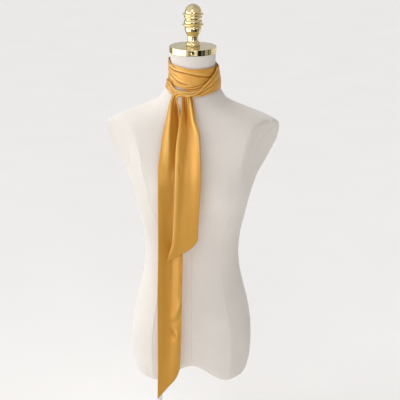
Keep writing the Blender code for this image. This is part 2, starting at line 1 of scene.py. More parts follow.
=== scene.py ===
"""The looks of a satin ribbon scarf on a limbless dress form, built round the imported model.

Metres, +Z up. The floor is z = 0, the form faces -Y, and +X is at the right of someone who
looks at its front. A drop is how far a point lies below the top of the neck cap. A turn is
an angle round the neck in degrees, 0 at the front, 90 at +X. The tables give lengths in whole
tenths of a millimetre.
"""

import math

import bmesh
import bpy
import numpy as np
from mathutils import Matrix, Vector
from mathutils.bvhtree import BVHTree


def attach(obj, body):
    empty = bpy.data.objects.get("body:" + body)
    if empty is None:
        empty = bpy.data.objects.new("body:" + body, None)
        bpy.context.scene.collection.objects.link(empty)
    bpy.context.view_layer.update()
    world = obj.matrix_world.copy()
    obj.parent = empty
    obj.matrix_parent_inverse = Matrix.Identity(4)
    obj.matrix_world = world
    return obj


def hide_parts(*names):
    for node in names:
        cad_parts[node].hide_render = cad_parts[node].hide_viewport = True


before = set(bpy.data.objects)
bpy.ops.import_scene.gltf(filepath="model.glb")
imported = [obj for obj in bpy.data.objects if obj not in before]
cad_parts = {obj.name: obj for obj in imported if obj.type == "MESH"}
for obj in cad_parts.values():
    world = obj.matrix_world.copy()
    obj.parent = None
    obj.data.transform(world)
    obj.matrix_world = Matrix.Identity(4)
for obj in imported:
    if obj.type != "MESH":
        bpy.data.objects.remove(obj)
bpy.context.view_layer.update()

TENTHS = 10000  # of a millimetre, in a metre
CAP_TOP = 1.055

# The form's level sections, as in the solids
FORM_ROWS = (
    # drop, half, front, back, corner
    (143, 515, 515, 515, 2), (300, 515, 515, 515, 2), (500, 515, 515, 515, 2),
    (700, 522, 517, 528, 2), (820, 545, 525, 565, 2), (900, 580, 535, 610, 2),
    (970, 635, 550, 665, 2), (1110, 720, 600, 750, 2), (1230, 810, 650, 810, 2.05),
    (1320, 965, 690, 850, 2.1), (1410, 1160, 725, 880, 2.15), (1480, 1350, 755, 900, 2.2),
    (1610, 1690, 800, 935, 2.25), (1720, 1920, 840, 960, 2.3), (1800, 2035, 870, 975, 2.3),
    (2000, 2098, 930, 1005, 2.35), (2230, 2085, 975, 1030, 2.35), (2460, 1955, 1000, 1045, 2.35),
    (2740, 1780, 1015, 1050, 2.3), (3010, 1568, 1010, 1040, 2.3), (3270, 1460, 990, 1020, 2.25),
    (3540, 1375, 965, 990, 2.2), (4070, 1257, 910, 910, 2.2), (4550, 1163, 870, 840, 2.2),
    (5000, 1132, 860, 805, 2.2), (5460, 1172, 895, 840, 2.2), (5930, 1275, 950, 950, 2.2),
    (6310, 1370, 990, 1080, 2.2), (6670, 1440, 1015, 1190, 2.2), (7060, 1485, 1015, 1240, 2.2),
    (7490, 1497, 990, 1200, 2.2), (7800, 1480, 960, 1140, 2.2), (8060, 1440, 930, 1080, 2.2),
    (8230, 1400, 880, 1000, 2.2), (8350, 1330, 800, 900, 2.2), (8420, 1220, 660, 750, 2.2),
)
FORM_TOP = 0.0143
FORM_BOTTOM = 0.842
ARCH_START = 0.700
ARCH_TOP = 0.789
ARCH_HALF_WIDTH = 0.095

# The scarf round the neck: turn, top, low, top_radius, low_radius, and then bulge and lift
# where they aren't as in PLAIN_LIFT
PLAIN_LIFT = (0, 20)
FRONT_ROWS = (
    (-122, 300, 770, 555, 575), (-100, 275, 785, 556, 568), (-85, 275, 795, 557, 565),
    (-74, 300, 810, 556, 565), (-64, 355, 810, 553, 566), (-50, 368, 822, 550, 566),
    (-40, 377, 826, 549, 566), (-30, 387, 850, 548, 568), (-20, 400, 884, 547, 570),
    (-12, 411, 908, 546, 574), (-2, 421, 938, 546, 590), (17, 425, 955, 546, 590),
    (40, 422, 930, 546, 580), (63, 417, 905, 546, 575), (90, 405, 890, 546, 575),
    (118, 380, 870, 546, 575),
)
RIGHT_ROWS = (
    (4.2, 893, 1020, 675, 688, 30, 60), (15, 850, 1015, 640, 680, 20, 60),
    (24, 770, 1000, 625, 670, 15, 60), (39, 660, 970, 605, 660, 12, 55),
    (59, 515, 945, 592, 652, 12, 45), (68, 430, 935, 588, 648, 14, 45),
    (90, 440, 920, 583, 645, 18, 45), (120, 420, 895, 583, 645, 10, 60),
    (150, 370, 850, 588, 650, 0, 65), (180, 335, 815, 590, 640, 0, 65),
    (205, 310, 790, 580, 625, 0, 50), (222, 300, 775, 566, 595, 0, 30), (238, 300, 770, 555, 575),
)
LEFT_ROWS = (
    (0, 900, 984, 625, 630), (-20, 900, 984, 625, 630), (-30, 905, 990, 622, 630),
    (-37, 905, 1025, 615, 640, 0, 25), (-48, 815, 1015, 603, 652, 4, 30),
    (-60, 740, 955, 595, 636, 4, 26), (-75, 735, 930, 592, 622, 4, 24),
    (-90, 760, 930, 594, 622, 4, 24), (-110, 800, 950, 600, 650, 0, 30),
    (-130, 825, 975, 600, 685, 0, 30), (-150, 820, 970, 595, 690, 0, 25),
    (-180, 730, 935, 570, 660), (-210, 530, 900, 548, 620), (-242, 380, 870, 546, 575),
)
KNOT_ROWS = (
    # along, outer_x, outer_drop, inner_x, inner_drop, y
    (0, 49, 893, 50, 1020, -675), (0.14, -60, 888, -40, 1018, -705),
    (0.3, -180, 884, -130, 1010, -718), (0.45, -290, 888, -220, 1004, -715),
    (0.6, -365, 908, -280, 1006, -705), (0.74, -420, 945, -318, 1020, -698),
    (0.87, -462, 995, -332, 1050, -692), (1, -495, 1058, -335, 1088, -690),
)
KNOT_BULGE = 0.0038
LONG_TAIL_ROWS = (
    # drop, left, right, y
    (1060, -497, -335, -690), (1250, -545, -298, -755), (1500, -588, -262, -880),
    (1750, -652, -238, -980), (2000, -694, -215, -1070), (2250, -727, -200, -1140),
    (2520, -759, -192, -1205), (3000, -762, -190, -1275), (3750, -767, -192, -1282),
    (4600, -775, -200, -1280), (5800, -800, -222, -1280), (7600, -803, -265, -1280),
    (8500, -822, -290, -1280),
)
SHORT_TAIL_ROWS = (
    (987, -235, 10, -655), (1120, -236, 25, -740), (1330, -252, 62, -880), (1480, -285, 85, -965),
    (1750, -322, 166, -1080), (2100, -363, 193, -1205), (2450, -373, 200, -1290),
    (2850, -382, 201, -1335), (3600, -402, 167, -1340), (4250, -443, 144, -1340),
    (4780, -556, 130, -1340),
)
CUT_CORNER = 0.22
CUT_ROUNDNESS = 9

# Folds. Each is a line of (along, place across, height) with its half widths on both sides.
# Round the neck, along is the turn and the place is a drop.
FRONT_FOLDS = (
    # the long upper crease and the ridge above it
    (((-114, 400, 0), (-86, 425, -22), (-78, 442, -26), (-46, 489, -26), (-22, 510, -20),
      (-4, 543, -18), (17, 583, -22), (46, 625, -22), (80, 640, 0)), 11, 34),
    (((-108, 360, 0), (-80, 392, 9), (-46, 452, 9), (-10, 492, 5), (20, 540, 9),
      (60, 580, 0)), 34, 22),
    # the lower crease, short and deep at the left
    (((-112, 560, 0), (-84, 584, -26), (-60, 617, -30), (-44, 697, -26), (-25, 752, -17),
      (-4, 775, -4), (10, 780, 0)), 12, 40),
    (((-104, 520, 0), (-78, 540, 10), (-52, 598, 12), (-30, 690, 8), (-8, 735, 0)), 40, 22),
    # short creases by the upper edge at the left
    (((-76, 352, 0), (-60, 381, -17), (-51, 402, -17), (-38, 430, 0)), 8, 20),
    (((-66, 342, 0), (-55, 366, 7), (-44, 392, 0)), 14, 10),
    # fine creases between the long ones
    (((-96, 500, 0), (-76, 520, -10), (-52, 562, -9), (-30, 600, 0)), 8, 22),
    (((-92, 680, 0), (-72, 690, -10), (-56, 725, -9), (-34, 790, 0)), 8, 24),
    # gathers that run down behind the rolled rim
    (((-20, 850, 0), (-4, 830, -12), (14, 790, -16), (30, 735, -12), (48, 680, 0)), 10, 30),
    (((-16, 885, 0), (0, 872, -12), (14, 842, -14), (26, 800, 0)), 8, 22),
    (((-14, 865, 0), (0, 850, 8), (14, 818, 9), (28, 770, 0)), 14, 12),
    # soft swells over the rest
    (((-60, 790, 0), (-40, 810, 8), (-18, 825, 0)), 40, 40),
    (((30, 480, 0), (50, 500, 8), (80, 500, 0)), 40, 50),
    # out of the camera's sight, at the right and behind
    (((78, 520, 0), (100, 510, -12), (118, 500, 0)), 14, 40),
)
RIGHT_FOLDS = (
    # the rolled rim, from the knot up to the right, and the crease below it
    (((2, 962, 14), (9, 933, 20), (15, 895, 24), (24, 806, 27), (39, 690, 28), (59, 545, 26),
      (68, 465, 24), (90, 475, 12), (130, 440, 0)), 18, 12),
    (((2, 978, -18), (9, 958, -28), (15, 926, -32), (24, 843, -34), (39, 727, -32), (59, 582, -24),
      (74, 520, -14), (100, 540, 0)), 10, 38),
    # gathers that spread from the knot
    (((2, 945, -22), (9, 915, -22), (16, 868, -12), (22, 830, 0)), 10, 10),
    (((2, 922, 12), (9, 894, 10), (16, 850, 0)), 12, 10),
    (((4, 990, 0), (12, 972, -20), (22, 905, -22), (34, 840, -14), (50, 780, 0)), 9, 26),
    (((6, 1000, 0), (16, 975, 12), (28, 915, 8), (44, 860, 0)), 14, 14),
    (((12, 1000, 0), (24, 962, -14), (38, 915, -7), (54, 880, 0)), 8, 20),
    (((20, 965, 0), (46, 880, 8), (80, 800, 9), (120, 740, 6), (160, 680, 0)), 60, 60),
    (((40, 800, 0), (60, 720, -9), (84, 670, -9), (104, 650, 0)), 12, 40),
    # behind
    (((84, 640, 0), (120, 600, -18), (160, 540, -22), (200, 470, -18), (232, 430, 0)), 13, 44),
    (((120, 780, 0), (165, 700, -20), (205, 640, -20), (236, 590, 0)), 13, 46),
    (((130, 500, 0), (170, 440, 10), (214, 400, 0)), 30, 30),
    (((96, 860, 0), (140, 800, 9), (190, 740, 0)), 36, 30),
    (((140, 620, 0), (168, 590, -12), (196, 560, 0)), 10, 30),
)
LEFT_FOLDS = (
    # the crease down the middle, and the rolled inner edge beside it
    (((-24, 960, 0), (-37, 985, -20), (-44, 960, -26), (-50, 915, -26), (-60, 850, -22),
      (-76, 830, -16), (-100, 865, -16), (-130, 890, -14), (-160, 870, 0)), 12, 26),
    (((-24, 930, 0), (-37, 930, 9), (-48, 855, 14), (-60, 780, 12), (-80, 775, 6), (-120, 830, 6),
      (-160, 800, 0)), 12, 18),
    (((-34, 975, 0), (-42, 940, -14), (-50, 880, -12), (-62, 805, 0)), 8, 14),
)
# On the knot, along and the place are shares of its length and width
KNOT_FOLDS = (
    # the rim runs on down to the low edge, with its crease below
    (((0, 0.5, 28), (0.12, 0.64, 34), (0.24, 0.82, 26), (0.36, 0.98, 0)), 0.13, 0.09),
    (((0, 0.66, -36), (0.12, 0.8, -40), (0.22, 0.96, -20), (0.28, 1, 0)), 0.05, 0.14),
    # gathers that run level across, and fan out to the left
    (((0, 0.26, -14), (0.14, 0.38, -22), (0.3, 0.56, -24), (0.46, 0.72, -16),
      (0.6, 0.84, 0)), 0.06, 0.08),
    (((0.1, 0.1, 0), (0.26, 0.26, -20), (0.44, 0.42, -30), (0.62, 0.46, -44), (0.82, 0.46, -62),
      (1, 0.48, -70)), 0.1, 0.1),
    (((0.2, 0.4, 0), (0.36, 0.46, 14), (0.52, 0.64, 18), (0.7, 0.74, 24),
      (1, 0.76, 22)), 0.08, 0.08),
    (((0.44, 0.1, 0), (0.6, 0.16, -14), (0.8, 0.18, -10), (0.95, 0.18, 0)), 0.04, 0.07),
    (((0.4, 0.92, 0), (0.6, 0.88, -20), (0.8, 0.9, -12), (0.95, 0.92, 0)), 0.06, 0.04),
)
# On the tails, along is the drop and the place is a share of the width from the left
LONG_TAIL_FOLDS = (
    # the bright outer crest, the deep trough and the rolled strip beside it
    (((1000, 0.1, 14), (1120, 0.14, 32), (1250, 0.2, 50), (1600, 0.27, 64), (2000, 0.33, 62),
      (2370, 0.36, 44), (2800, 0.36, 20), (3600, 0.42, 4), (4500, 0.5, 0)), 0.19, 0.18),
    (((1000, 0.5, -64), (1100, 0.64, -96), (1280, 0.8, -120), (1470, 0.8, -110), (1650, 0.81, -88),
      (2000, 0.81, -66), (2370, 0.78, -44), (2700, 0.74, -16), (3100, 0.7, 0)), 0.3, 0.1),
    (((1000, 0.8, 16), (1080, 0.88, 20), (1250, 0.94, 22), (1470, 0.97, 18), (1650, 0.99, 10),
      (2000, 1, 0)), 0.1, 0.1),
    # low down the left half turns away and the right half comes forward
    (((2400, 0.52, 0), (3100, 0.52, -54), (4400, 0.52, -82), (5600, 0.54, -76), (7000, 0.5, -48),
      (8000, 0.42, -18), (8500, 0.36, 0)), 0.34, 0.24),
    (((2000, 0.02, 0), (2800, 0.02, 30), (4500, 0.02, 44), (6000, 0.02, 38), (7000, 0.02, 24),
      (8500, 0.02, 6)), 0.1, 0.24),
    (((2800, 0.84, 0), (3800, 0.84, 18), (5800, 0.84, 22), (8000, 0.8, 8)), 0.2, 0.18),
    # a slanting dent at the right, and a dimple below it
    (((5720, 0.99, 16), (5980, 0.88, 32), (6200, 0.74, 28), (6420, 0.6, 0)), 0.12, 0.05),
    (((5980, 1, -20), (6220, 0.92, -34), (6460, 0.82, 0)), 0.06, 0.12),
    (((6500, 0.58, 0), (6720, 0.66, -40), (6940, 0.74, 0)), 0.12, 0.05),
    (((6540, 0.78, 0), (6720, 0.83, 26), (6900, 0.9, 0)), 0.06, 0.08),
    # puckers along the right hem
    (((4620, 1, 0), (4740, 0.99, -18), (4860, 1, 0)), 0.05, 0.05),
    (((4880, 1, 0), (4990, 0.98, 16), (5100, 1, 0)), 0.04, 0.05),
    (((5120, 1, 0), (5250, 0.98, -22), (5380, 1, 0)), 0.06, 0.05),
    (((5400, 1, 0), (5520, 0.99, 14), (5640, 1, 0)), 0.05, 0.05),
    (((7000, 1, 0), (7150, 0.98, -18), (7300, 1, 0)), 0.05, 0.05),
    (((7450, 1, 0), (7580, 0.99, 14), (7710, 1, 0)), 0.05, 0.05),
    (((7000, 0.55, 0), (7600, 0.62, 12), (8300, 0.55, 0)), 0.25, 0.25),
)
SHORT_TAIL_FOLDS = (
    # the forward left edge, the fold's dark valley and the bright ridge at the right
    (((940, 0.04, 10), (1300, 0.05, 28), (1800, 0.06, 36), (2400, 0.07, 34), (3300, 0.07, 30),
      (4600, 0.08, 20)), 0.07, 0.18),
    (((920, 0.22, -68), (1120, 0.27, -100), (1350, 0.36, -98), (1650, 0.46, -82),
      (2000, 0.48, -66), (2400, 0.48, -46), (3000, 0.46, -26), (4000, 0.42, -8)), 0.25, 0.26),
    (((920, 0.66, 20), (1120, 0.7, 34), (1350, 0.76, 38), (1600, 0.84, 42), (1900, 0.9, 44),
      (2400, 0.93, 40), (3000, 0.93, 26), (4000, 0.9, 14)), 0.2, 0.1),
    (((900, 0.5, 10), (1050, 0.5, 12), (1300, 0.52, 0)), 0.06, 0.06),
    (((900, 0.58, -14), (1050, 0.58, -16), (1280, 0.6, 0)), 0.04, 0.06),
    (((900, 0.86, -12), (1100, 0.88, -18), (1400, 0.9, 0)), 0.05, 0.06),
    # a dent beside the left edge, and a soft swell above the cut
    (((2360, 0.1, 0), (2500, 0.16, -14), (2680, 0.2, 0)), 0.06, 0.08),
    (((3300, 0.55, 0), (3800, 0.5, 12), (4400, 0.45, 0)), 0.25, 0.25),
)
# The columns of a line that aren't lengths: a turn or a share
ON_NECK, ON_KNOT, ON_TAIL = (0,), (0, 1), (1,)
SHARPNESS = 0.22  # of a crease's bottom, as a share of its width
BROAD_VALLEY = 0.15  # on a tail, the half width from which a valley is soft
SMALL_GATHERS = 9
SMALL_GATHER_HEIGHT = 0.0003
SMALL_GATHER_REACH = 0.045

# rows, folds, drops of the top's two corners and of the cut's, columns, phase of the gathers
SHORT_TAIL = (SHORT_TAIL_ROWS, SHORT_TAIL_FOLDS, (0.0989, 0.0989), (0.4775, 0.4200), 112, 0.13)
LONG_TAIL = (LONG_TAIL_ROWS, LONG_TAIL_FOLDS, (0.1060, 0.1090), (0.8500, 0.7620), 165, 0.41)
# rows, folds, first turn, last turn, columns
LEFT = (LEFT_ROWS, LEFT_FOLDS, -22.0, -242, 96)
FRONT = (FRONT_ROWS, FRONT_FOLDS, 118, -122, 165)
RIGHT = (RIGHT_ROWS, RIGHT_FOLDS, 238, 4.2, 165)
KNOT_STEPS = 50
CORNER_STEPS = 10
CORNER_SWING = 0.004
# Where the ribbon's rows lie across it, closer at the hems
ACROSS = np.concatenate([
    [0.0, 0.005, 0.014, 0.030, 0.044, 0.056], np.linspace(0.074, 0.926, 49),
    [0.944, 0.956, 0.970, 0.986, 0.995, 1.0],
])
JOINT_REACH = (6, 8, 3, 3, 7, 9)  # how many columns each joint between stretches is eased over
EASING_ROUNDS = 24
RIBBON_WIDTH = 0.058
CLOTH_HALF = 0.00022  # half the satin's thickness, and half that of its rolled hem
HEM_HALF = 0.00050
HEM_SHARE = 0.048
HEM_LENGTH = 0.0028
HOLLOW_CURVE = 260.0  # the bend, in 1/m, that counts as a full crease or ridge

MUSTARD = (0.700, 0.345, 0.040)
# painted shade for the satin's creases, and the colour of the hem's stitches
MUSTARD_SHADE_AND_STITCH = (0.380, 0.115, 0.002)
# painted highlight for the satin's ridges
MUSTARD_HIGHLIGHT = (0.850, 0.520, 0.130)
CREAM = (0.800, 0.764, 0.714)
GOLD = (0.835, 0.710, 0.405)
SEAM = (0.768, 0.728, 0.680)
STEEL = (0.045, 0.042, 0.040)
WHITE = (0.820, 0.820, 0.800)


def metres(rows, plain=()):
    """A table with its lengths in metres; the plain columns stay as they are."""
    table = np.array(rows, float)
    units = np.full(table.shape[1], float(TENTHS))
    units[list(plain)] = 1
    return table / units


def hermite(keys, values, slopes, at):
    """The columns of a smooth line through the values, with these slopes."""
    i = np.clip(np.searchsorted(keys, at) - 1, 0, len(keys) - 2)
    span = (keys[i + 1] - keys[i])[..., None]
    t = np.clip((at - keys[i])[..., None] / span, 0, 1)
    line = (
        values[i] * (1 + 2 * t) * (1 - t) ** 2
        + slopes[i] * span * t * (1 - t) ** 2
        + values[i + 1] * t * t * (3 - 2 * t)
        - slopes[i + 1] * span * t * t * (1 - t)
    )
    return np.moveaxis(line, -1, 0)


def curve(rows, plain=()):
    """A smooth function through a table, with no overshoot: every column at once."""
    table = metres(rows, plain)
    if table[0, 0] > table[-1, 0]:
        table = table[::-1]
    keys, values = table[:, 0], table[:, 1:]
    rise = np.diff(values, axis=0) / np.diff(keys)[:, None]
    slopes = np.zeros_like(values)
    before, after = rise[:-1], rise[1:]
    same = before * after > 0
    slopes[1:-1][same] = (2 * before * after)[same] / (before + after)[same]
    return lambda at: hermite(keys, values, slopes, np.asarray(at, float))


FORM = curve(FORM_ROWS, (4,))


def smooth_step(t):
    t = np.clip(t, 0, 1)
    return t * t * (3 - 2 * t)


def soft_min(a, b, softness):
    gap = np.maximum(softness - np.abs(a - b), 0) / softness
    return np.minimum(a, b) - gap * gap * softness / 4


def bump(x, centre, spread):
    return np.exp(-(((x - centre) / spread) ** 2))


def blend(first, last):
    """From one edge of the ribbon to the other."""
    return first + (last - first) * ACROSS


def neck_radius(turn, drop):
    """The form's own radius in one direction from the neck's axis."""
    half, front, back, corner = FORM(drop)
    side, ahead = np.abs(np.sin(np.radians(turn))), np.cos(np.radians(turn))
    depth = np.where(ahead > 0, front, back)
    return ((side / half) ** corner + (np.abs(ahead) / depth) ** corner) ** (-1 / corner)


def fold_heights(folds, along, place, plain, broad=1.0):
    """The height that a table of folds adds; a narrow valley is a sharp crease."""
    total = np.zeros(np.broadcast(along, place).shape)
    for line, above, below in folds:
        centre, height = curve(line, plain)(along)
        keys = metres(line, plain)[:, 0]
        inside = (along >= keys.min()) & (along <= keys.max())
        away = place - centre
        width = np.where(away < 0, above, below) / (1 if 1 in plain else TENTHS)
        far = np.abs(away) / width
        ridge = np.exp(-(far**2))
        crease = np.exp(-1.35 * (np.sqrt(far**2 + SHARPNESS**2) - SHARPNESS))
        shape = np.where((height < 0) & (width < broad), crease, ridge)
        total += np.where(inside, height, 0) * shape
    return total


def wrap(rows, folds, first, last, steps):
    """A stretch round the neck: its points, and the heights of its folds."""
    turn = np.linspace(first, last, steps)[:, None]
    rows = [(*row, *PLAIN_LIFT)[:7] for row in rows]
    top, low, top_radius, low_radius, bulge, lift = curve(rows, ON_NECK)(turn)
    drop = blend(top, low)
    radius = blend(top_radius, low_radius) + bulge * 4 * ACROSS * (1 - ACROSS)
    radius = -soft_min(-radius, -(neck_radius(turn, drop) + lift), 0.002)
    angle = np.radians(turn)
    points = np.stack([radius * np.sin(angle), -radius * np.cos(angle), CAP_TOP - drop], axis=-1)
    return points, fold_heights(folds, turn, drop, ON_NECK)


def knot():
    """The knot's band, which crosses to -X and turns down."""
    along = np.linspace(0, 1, KNOT_STEPS)[:, None]
    outer_x, outer_drop, inner_x, inner_drop, y = curve(KNOT_ROWS, ON_NECK)(along)
    fullness = np.sin(np.pi * (0.25 + 0.75 * along))
    y = y - KNOT_BULGE * fullness * 4 * ACROSS * (1 - ACROSS)
    drop = blend(outer_drop, inner_drop)
    points = np.stack([blend(outer_x, inner_x), y, CAP_TOP - drop], axis=-1)
    return points, fold_heights(KNOT_FOLDS, along, ACROSS, ON_KNOT)


def small_gathers(drop, start, phase):
    """Fine gathers that fan out of the knot and fade."""
    faded = (1 - smooth_step((drop - start) / SMALL_GATHER_REACH)) ** 1.5
    wave = np.cos(2 * np.pi * (SMALL_GATHERS * ACROSS + phase))
    wave = wave + 0.6 * np.cos(2 * np.pi * (SMALL_GATHERS * 0.61 * ACROSS + 2.3 * phase))
    return SMALL_GATHER_HEIGHT * faded * wave


def tail(rows, folds, top, cut, steps, phase):
    """A tail from its top down to its slanting cut."""
    share = (np.linspace(0, 1, steps) ** 1.15)[:, None]
    slant = (1 - CUT_CORNER) * ACROSS + CUT_CORNER * ACROSS**CUT_ROUNDNESS
    start = blend(*top)
    drop = start + (cut[0] + (cut[1] - cut[0]) * slant - start) * share
    left, right, y = curve(rows)(drop)
    points = np.stack([blend(left, right), y, CAP_TOP - drop], axis=-1)
    heights = fold_heights(folds, drop, ACROSS, ON_TAIL, BROAD_VALLEY)
    return points, heights + small_gathers(drop, top[0], phase)


def ribbon_parts():
    """The stretches in order along the ribbon, from the short tail's tip to the long one's."""
    short = [grid[::-1, ::-1] for grid in tail(*SHORT_TAIL)]
    left = wrap(*LEFT)
    # Behind the knot the narrow stretch turns down into the short tail, round its low edge
    start, end = short[0][-1], left[0][0]
    bend = np.linspace(0, 1, CORNER_STEPS + 2)[1:-1, None, None]
    corner = start + (end - start) * bend
    arc = np.sin(np.pi * bend) * (1 - ACROSS)[:, None] * CORNER_SWING
    corner = corner + arc * np.array([1.0, 0.0, 1.0])
    flat = np.zeros(corner.shape[:2])
    return [short, (corner, flat), left, wrap(*FRONT), wrap(*RIGHT), knot(), tail(*LONG_TAIL)]


def relax(points, weights):
    """Evens out a grid of points along its length, where the weights say so."""
    w = weights.reshape(-1, *([1] * (points.ndim - 1)))
    for _ in range(EASING_ROUNDS):
        middle = (points[:-2] + points[2:]) / 2
        points[1:-1] += w[1:-1] * (middle - points[1:-1]) * 0.8
    return points


def grid_normals(points):
    normals = np.cross(np.gradient(points, axis=0), np.gradient(points, axis=1))
    return normals / np.maximum(np.linalg.norm(normals, axis=2, keepdims=True), 1e-12)


def edge_half(distance):
    """Half the thickness near an edge: a rounded hem, then plain cloth."""
    inner = smooth_step((distance - HEM_LENGTH * 0.8) / (HEM_LENGTH * 0.5))
    rim = np.sqrt(np.clip(1 - (1 - np.clip(distance / (HEM_LENGTH * 0.22), 0, 1)) ** 2, 0, 1))
    return (HEM_HALF + (CLOTH_HALF - HEM_HALF) * inner) * (0.08 + 0.92 * rim)


def add_ribbon():
    """The whole scarf as one ribbon with a rolled hem all round, and its length."""
    # From the front stretch on, each begins with the last column of the one before
    parts = [(p[i > 2 :], h[i > 2 :]) for i, (p, h) in enumerate(ribbon_parts())]
    joints = np.cumsum([len(p) for p, _ in parts])
    points, heights = (np.concatenate(grids) for grids in zip(*parts))
    index = np.arange(len(points))
    weights = np.zeros(len(points))
    for joint, reach in zip(joints, JOINT_REACH):
        weights = np.maximum(weights, np.exp(-(((index - joint) / reach) ** 2)))
    points, heights = relax(points, weights), relax(heights, weights)
    points = points + grid_normals(points) * heights[..., None]
    normals = grid_normals(points)
    steps = np.linalg.norm(np.diff(points, axis=0), axis=2).mean(1)
    along = np.concatenate([[0], np.cumsum(steps)])
    side = edge_half(np.minimum(ACROSS, 1 - ACROSS) / HEM_SHARE * HEM_LENGTH)
    end = edge_half(np.minimum(along, along[-1] - along))
    half = np.maximum(side[None, :], np.minimum(end[:, None], HEM_HALF))
    half = np.minimum(half, np.where(end < CLOTH_HALF, end, 1)[:, None])
    half = np.minimum(half, np.where(side < CLOTH_HALF, side, 1)[None, :])
    front = points + normals * half[..., None]
    back = points - normals * half[..., None]
    return add_shell("ribbon_scarf", front, back, along, hollows(points, normals)), along[-1]


def hollows(points, normals):
    """How hollow the cloth is at each point, from -1 on a ridge to 1 in a crease."""
    found = np.zeros(points.shape[:2])
    rows = np.arange(points.shape[1])
    for step in (2, 4):
        before, after = (points[:, np.clip(rows + s, 0, rows[-1])] for s in (-step, step))
        sag = (((before + after) / 2 - points) * normals).sum(-1)
        span = np.linalg.norm(after - before, axis=-1) / 2
        found += np.clip(2 * sag / np.maximum(span, 1e-4) ** 2 / HOLLOW_CURVE, -1, 1) / 2
    found[:, :5], found[:, -5:] = 0, 0
    for _ in range(3):
        found[1:-1] = (found[:-2] + 2 * found[1:-1] + found[2:]) / 4
    return found


def in_scene(name, data):
    thing = bpy.data.objects.new(name, data)
    bpy.context.scene.collection.objects.link(thing)
    return thing


def new_object(name, points, faces):
    mesh = bpy.data.meshes.new(name)
    mesh.from_pydata(points, [], faces)
    mesh.validate()
    mesh.shade_smooth()
    return in_scene(name, mesh)


def add_shell(name, front, back, along, hollow):
    """A closed thin mesh from its two sides, with a UV map in metres."""
    rows, columns = front.shape[:2]
    size = rows * columns
    first = np.arange(size).reshape(rows, columns)
    a, b, c, d = first[:-1, :-1], first[:-1, 1:], first[1:, 1:], first[1:, :-1]
    rim = np.concatenate([first[0], first[1:, -1], first[-1, -2::-1], first[-2:0:-1, 0]])
    after = np.roll(rim, -1)
    faces = np.concatenate([
        np.stack([a, d, c, b], axis=-1).reshape(-1, 4),
        np.stack([a, b, c, d], axis=-1).reshape(-1, 4) + size,
        np.stack([rim, after, after + size, rim + size], axis=-1),
    ])
    points = np.concatenate([front.reshape(-1, 3), back.reshape(-1, 3)])
    thing = new_object(name, points.tolist(), faces.tolist())
    uv = np.stack([np.repeat(along, columns), np.tile(ACROSS * RIBBON_WIDTH, rows)], axis=-1)
    corners = np.concatenate([uv, uv])[faces.reshape(-1)]
    layer = thing.data.uv_layers.new(name="ribbon")
    layer.data.foreach_set("uv", corners.reshape(-1).astype(np.float32))
    # How hollow each point is goes on as the attribute that the satin uses for painted shade in
    # creases and painted highlights on ridges
    flat = hollow.reshape(-1)
    fold = thing.data.attributes.new("fold", "FLOAT", "POINT")
    fold.data.foreach_set("value", np.concatenate([flat, -flat]).astype(np.float32))
    return thing


# --- The form ---

FORM_SIDES = 168
FORM_LEVELS = 150
LOW_EDGE = (0.8265, 0.8325, 0.8365, 0.8395, 0.8412)  # more levels, where it rounds under
UNDERSIDE_RINGS = (0.9, 0.75, 0.5, 0.25)
SOCKET_X = -0.0825
SOCKET_TOP = 0.765
SOCKET_RADIUS = 0.0063
# The bust's middle and spread, out from the form's middle and down; how far it comes forward
BUST_OUT = (0.072, 0.048)
BUST_DROP = (0.326, 0.066)
BUST_FORWARD = 0.019
# Each armhole's flat plate: the drop and half width it is set out from, and where it fades
PLATE_DROP = 0.200
PLATE_REACH = 0.186
PLATE_FADE = (0.262, 0.110)
PANEL_SPREAD = 0.026
PANEL_LEFT = (
    # drop, how far out the seam is, how far the edge stands out
    (1650, 1480, 0), (1780, 1424, 12), (2040, 1294, 30), (2275, 1184, 38), (2586, 1144, 42),
    (2875, 1079, 42), (3118, 1014, 40), (3438, 972, 34), (3686, 905, 26), (3986, 815, 18),
    (4500, 755, 10), (5500, 770, 12), (6500, 900, 36), (7000, 955, 54), (7600, 965, 62),
    (8150, 950, 30), (8400, 950, 0),
)
PANEL_RIGHT = (
    (1600, 1620, 0), (1734, 1568, 12), (2017, 1419, 30), (2255, 1289, 38), (2566, 1229, 42),
    (2881, 1168, 42), (3174, 1129, 40), (3421, 1042, 34), (3721, 933, 26), (4048, 846, 20),
    (4430, 758, 12), (5500, 757, 12), (6500, 900, 36), (7000, 955, 54), (7600, 975, 62),
    (8150, 955, 30), (8400, 955, 0),
)
PANEL_BACK = (
    (1900, 1250, 0), (2100, 1180, 24), (2700, 1050, 36), (3400, 900, 30), (4300, 740, 14),
    (4900, 700, 10), (5600, 740, 16), (6400, 820, 26), (7300, 860, 30), (8150, 850, 12),
    (8400, 850, 0),
)
# Each with its side, and the share of its rise
PANELS = (
    (PANEL_LEFT, -1, 1), (PANEL_RIGHT, 1, 1), (PANEL_BACK, 1, 0.6), (PANEL_BACK, -1, 0.6),
)


